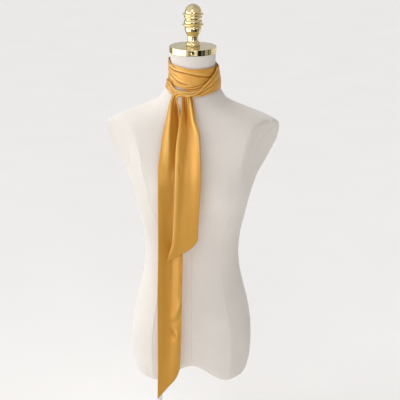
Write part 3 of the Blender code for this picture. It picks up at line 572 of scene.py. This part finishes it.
def form_point(drop, angle, scale=1.0):
    """Points on the form's level sections, as in the solids but fuller, with firm seams."""
    drop, angle = np.broadcast_arrays(np.asarray(drop, float), np.asarray(angle, float))
    half, front, back, corner = FORM(drop)
    side, ahead = (
        np.sign(part) * np.abs(part) ** (2 / corner) for part in (np.cos(angle), np.sin(angle))
    )
    x = half * side
    y = np.where(ahead > 0, back, front) * ahead
    swell = bump(np.abs(x), *BUST_OUT) * bump(drop, *BUST_DROP)
    y = y - np.where(ahead < 0, BUST_FORWARD * swell * smooth_step(-ahead / 0.5), 0)
    down = drop - PLATE_DROP
    turn = np.maximum(0.75 - 2.0 * down, 0)
    reach = PLATE_REACH - 0.30 * down + turn * y
    flat = np.sign(x) * soft_min(np.abs(x), reach, 0.006)
    x = flat + (x - flat) * smooth_step((drop - PLATE_FADE[0]) / PLATE_FADE[1])
    # The cover is drawn into a firm edge along the seams between its panels
    for rows, side, share in PANELS:
        place, rise = curve(rows)(drop)
        facing = ahead > 0 if rows is PANEL_BACK else ahead < 0
        away = np.abs(np.abs(x) - place)
        lift = np.where(facing & (x * side > 0), rise * share * np.exp(-away / PANEL_SPREAD), 0)
        y = y + np.sign(ahead) * lift * 0.85
        x = x + side * lift * 0.5
    x, y = x * scale, y * scale
    arch = ARCH_TOP + (FORM_BOTTOM - ARCH_TOP) * smooth_step(np.abs(x) / ARCH_HALF_WIDTH)
    share = (drop - ARCH_START) / (FORM_BOTTOM - ARCH_START)
    drop = np.where(drop > ARCH_START, ARCH_START + (arch - ARCH_START) * share, drop)
    return np.stack([x, y, CAP_TOP - drop], axis=-1)


def cut_hole(thing, place, axis, radius, depth):
    """Takes a round hole out of a piece, for good."""
    shape = bmesh.new()
    bmesh.ops.create_cone(
        shape, cap_ends=True, segments=40, radius1=radius, radius2=radius, depth=depth
    )
    mesh = bpy.data.meshes.new("hole")
    shape.to_mesh(mesh)
    shape.free()
    cutter = in_scene("hole", mesh)
    turned = Vector(axis).to_track_quat("Z", "Y").to_matrix().to_4x4()
    cutter.matrix_world = Matrix.Translation(place) @ turned
    change = thing.modifiers.new("hole", "BOOLEAN")
    change.operation, change.solver, change.object = "DIFFERENCE", "EXACT", cutter
    bpy.context.view_layer.update()
    graph = bpy.context.evaluated_depsgraph_get()
    made = bpy.data.meshes.new_from_object(thing.evaluated_get(graph))
    thing.modifiers.clear()
    old, thing.data = thing.data, made
    bpy.data.meshes.remove(old)
    bpy.data.objects.remove(cutter)
    bpy.data.meshes.remove(mesh)


def add_form():
    """The limbless torso as one smooth covered form, and the tree that finds places on it."""
    turns = np.linspace(0, 2 * math.pi, FORM_SIDES, endpoint=False)
    drops = FORM_TOP + (FORM_BOTTOM - FORM_TOP) * np.linspace(0, 1, FORM_LEVELS)
    drops = np.unique(np.concatenate([drops, LOW_EDGE]))
    rings = [form_point(drop, turns) for drop in drops]
    rings += [form_point(FORM_BOTTOM, turns, scale) for scale in UNDERSIDE_RINGS]
    points = np.concatenate(rings)
    first = np.arange(len(points)).reshape(len(rings), FORM_SIDES)
    after = np.roll(first, -1, axis=1)
    faces = np.stack([first[:-1], first[1:], after[1:], after[:-1]], axis=-1)
    faces = faces.reshape(-1, 4).tolist()
    faces.append(list(range(FORM_SIDES)))
    points = points.tolist() + [[0.0, 0.0, CAP_TOP - ARCH_TOP]]
    last = first[-1].tolist()
    for j in range(FORM_SIDES):
        faces.append([last[j], len(points) - 1, last[(j + 1) % FORM_SIDES]])
    torso = new_object("torso_cover", points, faces)
    tree = BVHTree.FromPolygons([Vector(p) for p in points], faces)
    torso.data.set_sharp_from_angle(angle=math.radians(50))
    top, bottom = CAP_TOP - SOCKET_TOP, CAP_TOP - FORM_BOTTOM - 0.02
    middle = (SOCKET_X, 0, (top + bottom) / 2)
    cut_hole(torso, middle, (0, 0, 1), SOCKET_RADIUS, top - bottom)
    return torso, tree


def hit(tree, start, way):
    """The point of the form that a line from outside meets, and its outward normal."""
    way = Vector(way)
    place, normal, _, _ = tree.ray_cast(Vector(start), way)
    if place is None:
        return None
    return place, normal if normal.dot(way) < 0 else -normal


SEAM_HALF = 0.0016
SEAM_RISE = 0.0006
SEAM_STEP = 0.004
# A welt's section, in half widths and rises
SEAM_PROFILE = ((-1, -0.5), (-0.62, 0.45), (-0.2, 0.95), (0.2, 0.95), (0.62, 0.45), (1, -0.5))
OUTSIDE = 2.0
SIDE_SEAM = (0.335, 0.822)
ARMHOLE_DROP = 0.236
ARMHOLE_Y = 0.012
ARMHOLE_RADIUS = 0.052
SEAMS_FRONT = (
    # the princess seams, from the armholes down over the bust to the waist and hips
    ((-1424, 1782), (-1294, 2039), (-1184, 2275), (-1144, 2586), (-1079, 2875), (-1014, 3118),
     (-972, 3438), (-905, 3686), (-815, 3986), (-758, 4430), (-740, 4900), (-765, 5450),
     (-830, 6000), (-900, 6500), (-955, 7000), (-965, 7600), (-950, 8150)),
    ((1568, 1734), (1419, 2017), (1289, 2255), (1229, 2566), (1168, 2881), (1129, 3174),
     (1042, 3421), (933, 3721), (846, 4048), (758, 4430), (730, 4900), (755, 5450), (815, 6000),
     (900, 6500), (955, 7000), (975, 7600), (955, 8150)),
    # the middle
    ((0, 1150), (0, 3000), (-5, 5000), (-5, 6500), (0, 7700)),
)
SEAMS_BACK = (
    ((0, 1150), (0, 3000), (0, 5000), (0, 7700)),
    *([(side * out, drop) for drop, out, _ in PANEL_BACK[1:-1]] for side in (-1, 1)),
)


def spline_points(rows):
    """Points close together on a smooth line through (x, drop) pairs."""
    rows = metres(rows)
    length = np.concatenate([[0], np.cumsum(np.linalg.norm(np.diff(rows, axis=0), axis=1))])
    at = np.linspace(0, length[-1], max(int(length[-1] / SEAM_STEP), 4))
    return hermite(length, rows, np.gradient(rows, length, axis=0), at).T


def seam_rays():
    """Every seam as a line of rays, each a start outside the form and a direction."""
    for seams, side in ((SEAMS_FRONT, -1), (SEAMS_BACK, 1)):
        for rows in seams:
            yield [
                ((x, OUTSIDE * side, CAP_TOP - drop), (0, -side, 0))
                for x, drop in spline_points(rows)
            ]
    for side in (-1, 1):
        places = [(0.0, drop) for drop in np.linspace(*SIDE_SEAM, 110)]
        plate = [
            (ARMHOLE_Y + ARMHOLE_RADIUS * math.sin(angle),
             ARMHOLE_DROP + ARMHOLE_RADIUS * math.cos(angle))
            for angle in np.linspace(0, 2 * math.pi, 96)
        ]
        for line in (places, plate):
            yield [((OUTSIDE * side, y, CAP_TOP - drop), (-side, 0, 0)) for y, drop in line]


def add_seams(tree):
    """The cover's seams, each a low rounded welt on the form."""
    points, faces = [], []
    for rays in seam_rays():
        line = [found for found in (hit(tree, *ray) for ray in rays) if found]
        places, normals = (np.array([tuple(v) for v in part]) for part in zip(*line))
        for _ in range(6):
            normals[1:-1] = (normals[:-2] + normals[1:-1] + normals[2:]) / 3
        normals /= np.linalg.norm(normals, axis=1, keepdims=True)
        across = np.cross(np.gradient(places, axis=0), normals)
        across /= np.linalg.norm(across, axis=1, keepdims=True)
        count = len(places)
        taper = np.clip(np.minimum(np.arange(count), np.arange(count)[::-1]) / 2.0, 0, 1)
        start = len(points)
        for i in range(count):
            for side, rise in SEAM_PROFILE:
                p = places[i] + across[i] * side * SEAM_HALF
                p = p + normals[i] * (rise * SEAM_RISE * taper[i] - 0.0001 * (1 - taper[i]))
                points.append(p.tolist())
            # closes the welt below the cover
            points.append((places[i] - normals[i] * 0.0006).tolist())
        n = len(SEAM_PROFILE) + 1
        for i in range(count - 1):
            for j in range(n):
                a, b = start + i * n + j, start + i * n + (j + 1) % n
                faces.append([a, b, b + n, a + n])
        faces.append([start + j for j in range(n)][::-1])
        faces.append([start + (count - 1) * n + j for j in range(n)])
    seams = new_object("cover_seams", points, faces)
    shape = bmesh.new()
    shape.from_mesh(seams.data)
    bmesh.ops.recalc_face_normals(shape, faces=shape.faces)
    shape.to_mesh(seams.data)
    shape.free()
    seams.data.shade_smooth()
    return seams


# --- The metal ---

CAP_RADIUS = 0.0535
SCREW_DROP = 0.0066
SCREW_HOLE = (0.0040, 0.014)  # radius, depth
SCREW_SUNK = 0.0058
FINIAL_RUNS = (
    # height above the cap, radius
    ((945, 0), (930, 68), (892, 126), (835, 170), (770, 187), (735, 184)),
    ((735, 218), (726, 231), (716, 235), (706, 231), (696, 218)),
    ((680, 195), (665, 202), (650, 206), (635, 202), (600, 180), (565, 202), (550, 206),
     (532, 203), (515, 195)),
    ((502, 220), (493, 232), (483, 236), (472, 232), (461, 220)),
    ((445, 175), (420, 186), (395, 189), (335, 178), (265, 142), (240, 128)),
    ((222, 124), (170, 122), (120, 124), (90, 150), (60, 163), (5, 163)),
)
CAP_RUNS = (
    ((10550, 0), (10550, 200), (10550, 400), (10550, 520)),
    ((10550, 526), (10549, 530), (10546, 533), (10543, 535), (10538, 535)),
    ((10530, 535), (10500, 535), (10450, 535), (10422, 535)),
    ((10418, 535), (10414, 533), (10411, 531), (10410, 527)),
    ((10410, 500), (10410, 0)),
)
SCREW_RUNS = (
    ((0, 0), (0, 11)), ((16, 14), (16, 27)), ((13, 31), (0, 32)), ((-4, 32), (-8, 0)),
)


def lathe(name, runs, sides, subdivide, base=0.0):
    """A turned piece: smooth runs of height and radius with a firm edge between them."""
    outline = []
    for run in runs:
        rows = metres(run)
        padded = np.vstack([2 * rows[0] - rows[1], rows, 2 * rows[-1] - rows[-2]])
        if run is runs[0] and rows[0, 1] == 0:
            padded[0] = (rows[1, 0], -rows[1, 1])
        for a, b, c, d in zip(padded, padded[1:], padded[2:], padded[3:]):
            for step in range(subdivide):
                t = step / subdivide
                outline.append(
                    0.5 * (2 * b + (c - a) * t + (2 * a - 5 * b + 4 * c - d) * t * t
                           + (3 * b - a - 3 * c + d) * t**3)
                )
        outline.append(rows[-1])
    outline = np.array(outline)
    outline[:, 1] = np.maximum(outline[:, 1], 0)
    turn = np.linspace(0, 2 * math.pi, sides, endpoint=False)
    points, faces, rings = [], [], []
    for high, radius in outline:
        angles = turn if radius >= 1e-6 else [0.0]
        radius = radius if radius >= 1e-6 else 0.0
        rings.append(list(range(len(points), len(points) + len(angles))))
        points += [(radius * math.cos(a), radius * math.sin(a), base + high) for a in angles]
    for upper, lower in zip(rings, rings[1:]):
        u, v = len(upper), len(lower)
        for j in range(sides if u + v > 2 else 0):
            k = (j + 1) % sides
            # a ring that is one point, on the axis, makes triangles
            corners = upper[j % u], lower[j % v], lower[k % v], upper[k % u]
            faces.append(list(dict.fromkeys(corners)))
    if len(rings[-1]) > 1:
        faces.append(rings[-1])
    thing = new_object(name, points, faces)
    thing.data.set_sharp_from_angle(angle=math.radians(40))
    return thing


def add_metal():
    """The cap with its hole, the finial, and the grub screw in the hole."""
    cap = lathe("cap_turned", CAP_RUNS, 128, 2)
    cut_hole(cap, (0, -CAP_RADIUS, CAP_TOP - SCREW_DROP), (0, 1, 0), *SCREW_HOLE)
    cap.data.set_sharp_from_angle(angle=math.radians(40))
    finial = lathe("finial_turned", FINIAL_RUNS, 96, 4, CAP_TOP)
    screw = lathe("grub_screw", SCREW_RUNS, 24, 1)
    screw.data.transform(
        Matrix.Translation((0, -CAP_RADIUS + SCREW_SUNK, CAP_TOP - SCREW_DROP))
        @ Matrix.Rotation(math.radians(90), 4, "X")
    )
    return cap, finial, screw


# --- Materials ---


class Nodes:
    """The nodes of a material or a world, and short ways to add them."""

    def __init__(self, owner, shade=None):
        owner.use_nodes = True
        self.owner, self.tree = owner, owner.node_tree
        self.shader = self.tree.nodes.get("Principled BSDF")
        if shade:
            owner.diffuse_color = (*shade, 1)

    def add(self, kind, inputs=(), **settings):
        node = self.tree.nodes.new("ShaderNode" + kind)
        for key, value in settings.items():
            setattr(node, key, value)
        for key, value in dict(inputs).items():
            if isinstance(value, bpy.types.NodeSocket):
                self.tree.links.new(value, node.inputs[key])
            else:
                node.inputs[key].default_value = value
        return node

    def math(self, operation, a, b=0.0):
        return self.add("Math", {0: a, 1: b}, operation=operation).outputs[0]

    def linear(self, value, times, plus):
        return self.math("ADD", self.math("MULTIPLY", value, times), plus)

    def wave(self, value, length):
        return self.math("SINE", self.math("MULTIPLY", value, 2 * math.pi / length))

    def noise(self, place, scale, detail, **more):
        inputs = {0: place, "Scale": scale, "Detail": detail, **more}
        return self.add("TexNoise", inputs).outputs[0]

    def stretch(self, place, *scale):
        return self.add("Mapping", {0: place, 3: scale}).outputs[0]

    def mix(self, factor, a, b):
        return self.add("Mix", {0: factor, 6: a, 7: b}, data_type="RGBA").outputs[2]

    def link(self, output, socket):
        self.tree.links.new(output, self.shader.inputs[socket])

    def set(self, **values):
        for key, value in values.items():
            self.shader.inputs[key.replace("_", " ")].default_value = value

    def relief(self, strength, distance, height, **settings):
        """Adds a bump on top of those that are there."""
        inputs = {"Strength": strength, "Distance": distance, "Height": height}
        for link in self.shader.inputs["Normal"].links:
            inputs["Normal"] = link.from_socket
        self.link(self.add("Bump", inputs, **settings).outputs[0], "Normal")

    def ramp(self, factor, *stops):
        node = self.add("ValToRGB", {0: factor})
        elements = node.color_ramp.elements
        while len(elements) < len(stops):
            elements.new(0.5)
        for element, (place, shade) in zip(elements, stops):
            element.position = place
            element.color = (*shade, 1)
        return node.outputs[0]


def new_material(name, shade=None):
    return Nodes(bpy.data.materials.new(name), shade)


def dimmed(shade, share):
    return tuple(c * share for c in shade)


def satin():
    """Smooth woven satin with painted highlights on its ridges, painted shade in its creases, fine
    ribs and soft crumples.
    """
    n = new_material("mustard_satin", MUSTARD)
    coordinates = n.add("UVMap", uv_map="ribbon").outputs[0]
    along, across, _ = n.add("SeparateXYZ", {0: coordinates}).outputs
    crumple = n.noise(n.stretch(coordinates, 14, 90, 1), 1.0, 3.0, Roughness=0.55)
    tone = n.noise(n.stretch(coordinates, 9, 40, 1), 1.0, 2.0)
    weft = n.math("MULTIPLY", n.wave(along, 0.0007), 0.25)
    weave = n.linear(n.wave(across, 0.00045), 0.5, weft)
    # The hem's stitches, in a line 3 mm inside each edge
    edge = n.math("MINIMUM", across, n.math("SUBTRACT", RIBBON_WIDTH, across))
    line = n.math("COMPARE", edge, 0.0032)
    line.node.inputs[2].default_value = 0.0003
    dash = n.math("GREATER_THAN", n.wave(along, 0.0026), -0.3)
    stitch = n.math("MULTIPLY", line, dash)
    # Painted shade, darker in the creases, and painted highlight, paler along the ridges, from how
    # hollow the cloth is, with some random tone
    fold = n.add("Attribute", attribute_name="fold").outputs["Fac"]
    fold = n.linear(n.math("SUBTRACT", tone, 0.5), 0.55, fold)
    plain = n.ramp(
        n.linear(fold, 0.5, 0.5),
        (0.12, MUSTARD_HIGHLIGHT), (0.46, MUSTARD), (0.55, MUSTARD), (0.90, MUSTARD_SHADE_AND_STITCH),
    )
    sewn = n.mix(n.math("MULTIPLY", stitch, 0.35), plain, (*MUSTARD_SHADE_AND_STITCH, 1))
    n.link(sewn, "Base Color")
    n.link(n.linear(crumple, 0.14, 0.32), "Roughness")
    n.set(Metallic=0.14, Specular_IOR_Level=0.80, Anisotropic=0.30, Sheen_Weight=0.06,
          Sheen_Roughness=0.35, Sheen_Tint=(1.0, 0.78, 0.45, 1),
          Specular_Tint=(1.0, 0.93, 0.80, 1))
    tangent = n.add("Tangent", direction_type="UV_MAP", uv_map="ribbon").outputs[0]
    n.link(tangent, "Tangent")
    n.relief(0.42, 0.0008, crumple)
    n.relief(0.35, 0.00004, weave)
    n.relief(0.6, 0.0002, stitch, invert=True)
    return n.owner


def jersey(name, shade):
    """The form's knitted cover."""
    n = new_material(name, shade)
    place = n.add("TexCoord").outputs["Object"]
    high = n.add("SeparateXYZ", {0: place}).outputs[2]
    fleck = n.math("MULTIPLY", n.noise(place, 420.0, 2.0), 0.4)
    tone = n.linear(n.noise(place, 14.0, 4.0), 0.6, fleck)
    n.link(n.ramp(tone, (0.35, dimmed(shade, 0.965)), (0.65, dimmed(shade, 1.03))), "Base Color")
    n.set(Roughness=0.92, Specular_IOR_Level=0.15, Sheen_Weight=0.25, Sheen_Roughness=0.6,
          Sheen_Tint=(1, 0.98, 0.95, 1))
    n.relief(0.35, 0.0002, n.linear(n.wave(high, 0.0011), 0.25, n.noise(place, 1500.0, 2.0)))
    # Slack in the cover, as faint level ripples round the neck
    ripple = n.noise(n.stretch(place, 18, 18, 210), 1.0, 1.5)
    near = n.math("MULTIPLY", n.math("SUBTRACT", high, 0.93), 16.0)
    near = n.math("MINIMUM", n.math("MAXIMUM", near, 0.0), 1.0)
    n.relief(0.5, 0.0009, n.math("MULTIPLY", ripple, near))
    return n.owner


def metal(name, shade, rough, spread):
    """Polished metal with faint smears and fine turning marks."""
    n = new_material(name, shade)
    place = n.add("TexCoord").outputs["Object"]
    smear = n.noise(place, 38.0, 4.0)
    n.link(n.ramp(smear, (0.40, shade), (0.75, dimmed(shade, 0.86))), "Base Color")
    n.link(n.linear(smear, spread, rough), "Roughness")
    n.set(Metallic=1.0)
    n.relief(0.10, 0.00008, n.noise(n.stretch(place, 40, 40, 2600), 1.0, 2.0))
    return n.owner


def paint():
    """White powder coat on the stand."""
    n = new_material("white_powder_coat", WHITE)
    place = n.add("TexCoord").outputs["Object"]
    wear = n.noise(place, 22.0, 5.0)
    n.link(n.ramp(wear, (0.45, WHITE), (0.8, dimmed(WHITE, 0.97))), "Base Color")
    n.link(n.linear(wear, 0.10, 0.42), "Roughness")
    n.relief(0.2, 0.0002, n.noise(place, 900.0, 2.0))
    return n.owner


def finish(thing, material):
    thing.data.materials.clear()
    thing.data.materials.append(material)


# --- Scene ---

PALE = (0.80, 0.80, 0.79)
SURROUND = (
    # direction round the form in degrees, 0 in front, 90 at the right; the brightness near
    # the floor, overhead, and as polished metal mirrors it; how warm it is
    (-180, 0.90, 1.20, 0.59, 0.0), (-135, 0.80, 1.70, 0.69, 0.0), (-90, 0.92, 3.40, 0.90, 0.0),
    (-45, 0.70, 0.84, 0.80, 0.5), (0, 0.74, 0.15, 0.62, 1.8), (45, 0.16, 0.14, 0.62, 2.5),
    (90, 0.10, 0.10, 0.50, 2.5), (135, 0.90, 0.85, 0.50, 1.0), (180, 0.90, 1.20, 0.59, 0.0),
)
WARMTH = (0, 0.04, 0.05)  # what a warmth of 1 takes from red, green and blue
CARDS = (
    # reflectors that only the gloss sees: from, to in degrees, top, brightness
    (-178, -116, 1.30, 0.35), (-115, -34, 1.25, 2.8), (-22, -8, 1.30, 0.35),
    (22, 44, 0.95, 0.01), (45, 62, 0.95, 0.07), (63, 74, 0.95, 0.36), (75, 88, 0.95, 0.14),
    (89, 100, 0.95, 0.30),
)
CARD_DISTANCE = 1.5
FLOOR_HALF = 14.0
CAMERA_PLACE = (0.0186, -2.04, CAP_TOP + 0.397)
CAMERA_DOWN = 20.68
CAMERA_ROLL = 0.45
FOCAL_SHARE = 905 / 400  # the focal length over the picture's width


def add_light(name, place, target, size, energy, shade):
    lamp = bpy.data.lights.new(name, "AREA")
    lamp.shape = "DISK"
    lamp.size, lamp.energy, lamp.color = size, energy, shade
    thing = in_scene(name, lamp)
    thing.location = place
    way = Vector(target) - Vector(place)
    thing.rotation_euler = way.to_track_quat("-Z", "Y").to_euler()


def add_world():
    """A pale surround, brightest at the left; seen directly it is even."""
    world = bpy.data.worlds.new("studio")
    bpy.context.scene.world = world
    n = Nodes(world)
    n.tree.nodes.clear()
    x, y, z = n.add("SeparateXYZ", {0: n.add("TexCoord").outputs["Generated"]}).outputs
    turn = n.math("ARCTAN2", x, n.math("MULTIPLY", y, -1))
    share = n.add("MapRange", {0: turn, 1: -math.pi, 2: math.pi}).outputs[0]
    low, high, mirrored = (
        n.ramp(share, *(
            ((row[0] + 180) / 360, [row[column] * (1 - w * row[4]) for w in WARMTH])
            for row in SURROUND
        ))
        for column in (1, 2, 3)
    )
    path = n.add("LightPath").outputs
    seen = n.mix(path["Is Glossy Ray"], n.mix(z, low, high), mirrored)
    around = n.add("Background", {0: seen}).outputs[0]
    even = n.add("Background", {0: (*PALE, 1)}).outputs[0]
    mix = n.add("MixShader", {0: path["Is Camera Ray"], 1: around, 2: even})
    n.add("OutputWorld", {0: mix.outputs[0]})


def add_card(name, points, faces, shade):
    """A reflector that only the gloss sees."""
    card = new_object(name, points, faces)
    n = new_material(name)
    glow = n.add("Emission", {0: (shade, shade * 0.98, shade * 0.94, 1)})
    n.tree.links.new(glow.outputs[0], n.tree.nodes["Material Output"].inputs[0])
    finish(card, n.owner)
    for ray in ("camera", "diffuse", "shadow", "transmission"):
        setattr(card, "visible_" + ray, False)


def level_square(half, front, back, z):
    """The corners and the face of a level rectangle."""
    return [(-half, front, z), (half, front, z), (half, back, z), (-half, back, z)], [[0, 1, 2, 3]]


def add_cards():
    """The studio's white and black cards, for what the metal and the satin mirror."""
    for i, (start, end, top, shade) in enumerate(CARDS):
        turns = np.radians(np.linspace(start, end, 24))
        points = [
            (CARD_DISTANCE * math.sin(t), -CARD_DISTANCE * math.cos(t), z)
            for t in turns for z in (0.0, top)
        ]
        faces = [[2 * j, 2 * j + 1, 2 * j + 3, 2 * j + 2] for j in range(len(turns) - 1)]
        add_card(f"card_{i}", points, faces, shade)
    # a dim sheet on the floor in front, seen only in the gloss, that darkens the reflections there
    add_card("card_floor", *level_square(1.6, -3.5, -0.2, 0.002), 0.16)


def add_floor():
    floor = new_object("floor", *level_square(FLOOR_HALF, -FLOOR_HALF, FLOOR_HALF, 0))
    n = new_material("pale_floor")
    cloud = n.noise(n.add("TexCoord").outputs["Object"], 3.0, 2.0)
    n.link(n.ramp(cloud, (0.3, (0.90, 0.892, 0.882)), (0.7, (0.915, 0.907, 0.897))), "Base Color")
    n.set(Roughness=0.9, Specular_IOR_Level=0.1)
    finish(floor, n.owner)


def add_camera():
    camera = bpy.data.cameras.new("camera")
    camera.sensor_width = 36.0
    camera.lens = 36.0 * FOCAL_SHARE
    camera.clip_start, camera.clip_end = 0.01, 100
    thing = in_scene("camera", camera)
    thing.matrix_world = (
        Matrix.Translation(CAMERA_PLACE)
        @ Matrix.Rotation(math.radians(90 - CAMERA_DOWN), 4, "X")
        @ Matrix.Rotation(math.radians(CAMERA_ROLL), 4, "Z")
    )
    bpy.context.scene.camera = thing


def main():
    bpy.context.scene.view_settings.view_transform = "Standard"
    add_camera()
    add_world()
    add_floor()
    add_cards()
    add_light("key", (-0.6, -2.4, 2.4), (0, 0, 0.75), 1.6, 11.0, (1, 0.985, 0.96))
    add_light("fill", (0.45, -2.6, 1.0), (0.05, 0, 0.75), 0.7, 6.5, (1, 0.97, 0.95))

    cream, thread = jersey("cream_jersey", CREAM), jersey("seam_thread", SEAM)
    gold = metal("polished_gold", GOLD, 0.06, 0.10)
    steel = metal("dark_steel", STEEL, 0.35, 0.20)
    coat, cloth = paint(), satin()

    torso, tree = add_form()
    seams = add_seams(tree)
    cap, finial, screw = add_metal()
    ribbon, length = add_ribbon()
    for thing, material in (
        (torso, cream), (seams, thread), (cap, gold), (finial, gold), (screw, steel),
        (ribbon, cloth),
    ):
        finish(thing, material)
        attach(thing, "root")
    for name in ("stand_rod", "stand_base"):
        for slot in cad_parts[name].material_slots:
            slot.material = coat
    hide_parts("form_torso")
    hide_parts("neck_cap")
    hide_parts("finial")
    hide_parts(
        "wrap_front", "wrap_right", "wrap_left", "knot_band", "tail_long", "tail_short"
    )


main()
